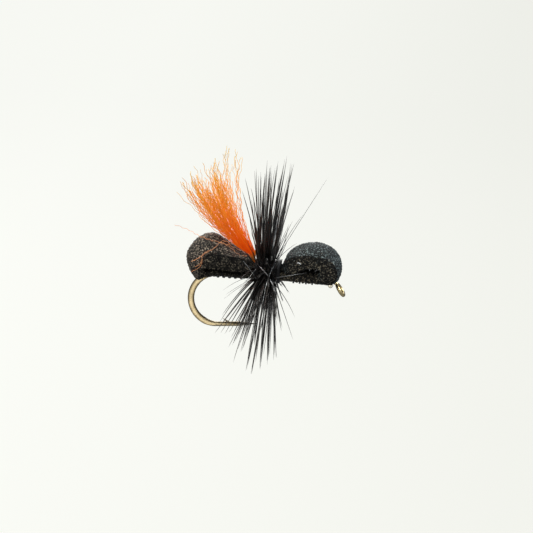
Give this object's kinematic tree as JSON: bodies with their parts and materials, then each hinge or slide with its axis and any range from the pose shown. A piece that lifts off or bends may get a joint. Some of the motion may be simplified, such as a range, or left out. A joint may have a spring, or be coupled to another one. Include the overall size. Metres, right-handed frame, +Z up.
{
  "type": "dry fly",
  "caption": "Floating foam ant fly on a barbed down-eye hook, with folded foam abdomen and head, wound black hackle at the waist and an orange yarn wing.",
  "frame": {"origin": "centre of the hook's eye", "axes": "+X along the shank from the bend towards the eye, +Y across the hook to the fly's left, +Z up from the shank towards the fly's back"},
  "size_m": [0.0168, 0.0209, 0.0217],
  "materials": {
    "hook_wire": "bronzed carbon-steel wire with a clear golden lacquer, polished",
    "thread": "waxed black polyester tying thread, slight sheen",
    "foam_abdomen": "matt closed-cell foam, finely pored, near black",
    "foam_head": "matt closed-cell foam, finely pored, near black with a cool sheen",
    "yarn": "crimped orange polypropylene yarn, paler and translucent at the tips",
    "yarn_root": "tightly bound orange yarn, deep red-orange",
    "quill": "dyed black feather quill, satin",
    "hackle": "dyed black rooster hackle barbs, glossy",
    "cement": "clear glossy head cement, faintly amber"
  },
  "bodies": {
    "root": {"hook": "hook_wire", "shank_thread": "thread", "abdomen_foam": "foam_abdomen", "head_foam": "foam_head", "abdomen_lashing": "thread", "head_lashing": "thread", "wing_butt": "yarn_root", "wing_fibres": "yarn", "waist_thread": "thread", "quill": "quill", "hackle_barbs": "hackle", "whip_finish": "thread", "cement_drop": "cement"}
  },
  "joints": []
}
